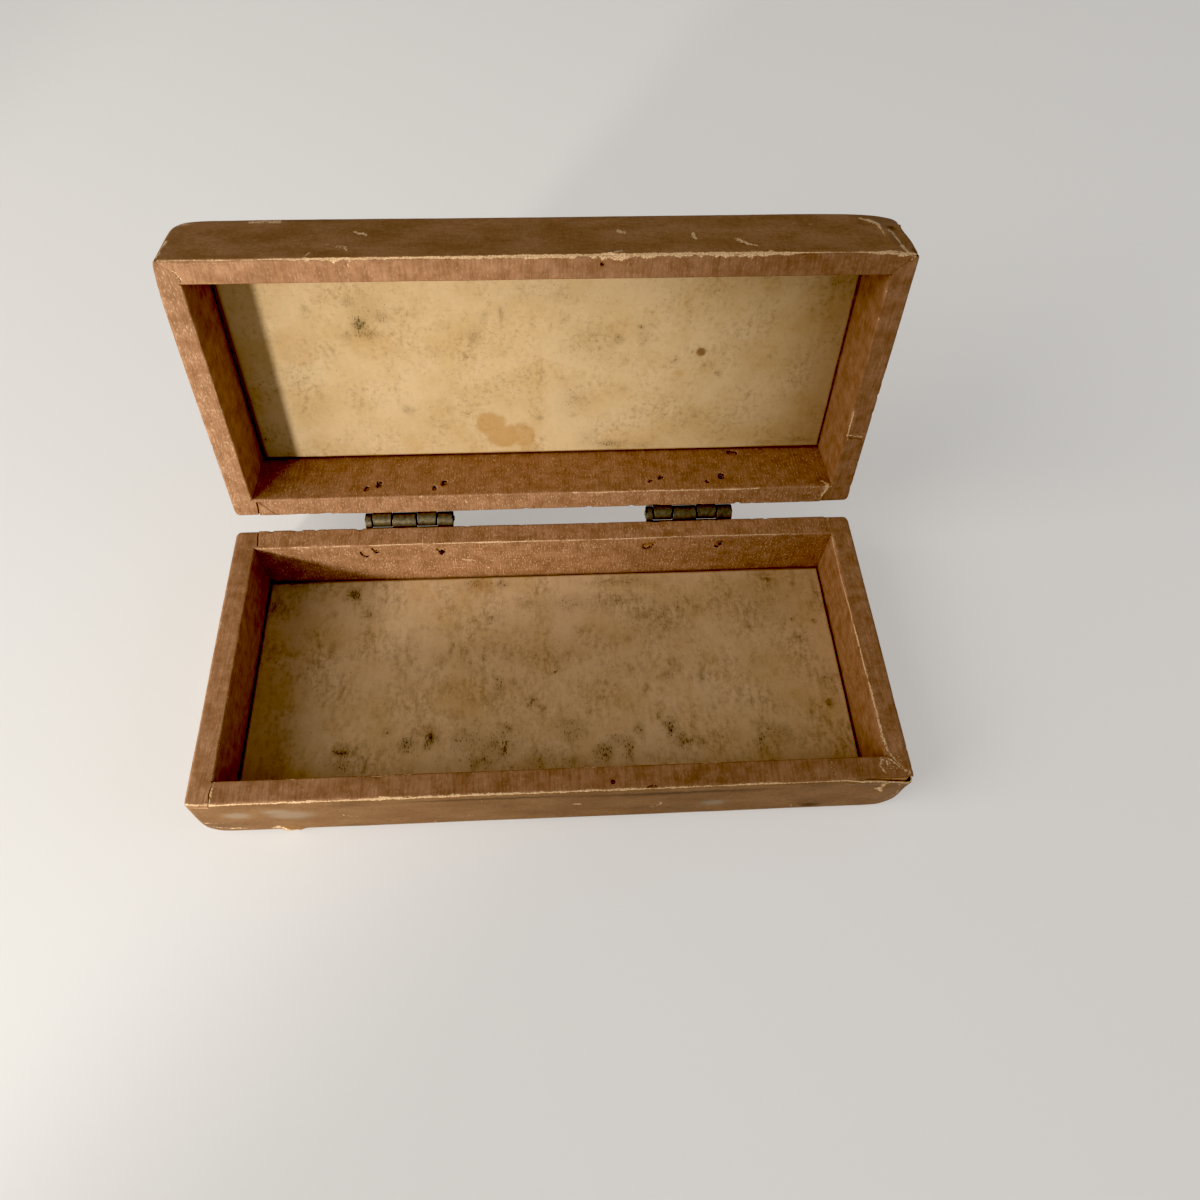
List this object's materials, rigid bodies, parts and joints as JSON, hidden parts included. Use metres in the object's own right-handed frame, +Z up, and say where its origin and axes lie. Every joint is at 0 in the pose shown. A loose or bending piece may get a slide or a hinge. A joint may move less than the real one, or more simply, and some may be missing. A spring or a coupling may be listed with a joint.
{
  "type": "hinged keepsake box",
  "caption": "Shallow hinged keepsake box of paper-covered wood, with flat card liners and a lid that turns on small brass butt hinges nailed to the back.",
  "frame": {"origin": "middle of the base's underside, on the surface that the box stands on", "axes": "+Z up, +X to the right along the hinge pins, +Y to the back, where the hinges are"},
  "size_m": [0.18, 0.1178, 0.1039],
  "materials": {
    "wood": "bare softwood, darkened with age",
    "cover_paper": "smooth olive-brown paper, rubbed and scratched",
    "lining_paper": "reddish-brown paper with short pale flecks, cracked along the folds",
    "cream_card": "yellowed cream card with foxing and mould specks",
    "aged_brass": "dull dark patina",
    "nail_steel": "dark, lightly rusted"
  },
  "bodies": {
    "base": {"base_front_wall": "wood", "base_back_wall": "wood", "base_left_wall": "wood", "base_right_wall": "wood", "base_bottom_board": "wood", "base_bottom_paper": "cover_paper", "base_side_paper": "cover_paper", "base_front_lining": "lining_paper", "base_back_lining": "lining_paper", "base_left_lining": "lining_paper", "base_right_lining": "lining_paper", "base_bottom_liner": "cream_card", "left_hinge_base_leaf": "aged_brass", "left_hinge_pin": "aged_brass", "left_hinge_base_nail_1": "nail_steel", "left_hinge_base_nail_2": "nail_steel", "right_hinge_base_leaf": "aged_brass", "right_hinge_pin": "aged_brass", "right_hinge_base_nail_1": "nail_steel", "right_hinge_base_nail_2": "nail_steel"},
    "lid": {"lid_front_wall": "wood", "lid_back_wall": "wood", "lid_left_wall": "wood", "lid_right_wall": "wood", "lid_top_board": "wood", "lid_top_paper": "cover_paper", "lid_side_paper": "cover_paper", "lid_front_lining": "lining_paper", "lid_back_lining": "lining_paper", "lid_left_lining": "lining_paper", "lid_right_lining": "lining_paper", "lid_top_liner": "cream_card", "left_hinge_lid_leaf": "aged_brass", "left_hinge_lid_nail_1": "nail_steel", "left_hinge_lid_nail_2": "nail_steel", "right_hinge_lid_leaf": "aged_brass", "right_hinge_lid_nail_1": "nail_steel", "right_hinge_lid_nail_2": "nail_steel"}
  },
  "joints": [
    {"name": "lid_hinge", "type": "hinge", "parent": "base", "child": "lid", "pos_m": [0, 0.04335, 0.02095], "axis": [-1, 0, 0], "range_deg": [-99.2, 80.8]}
  ]
}
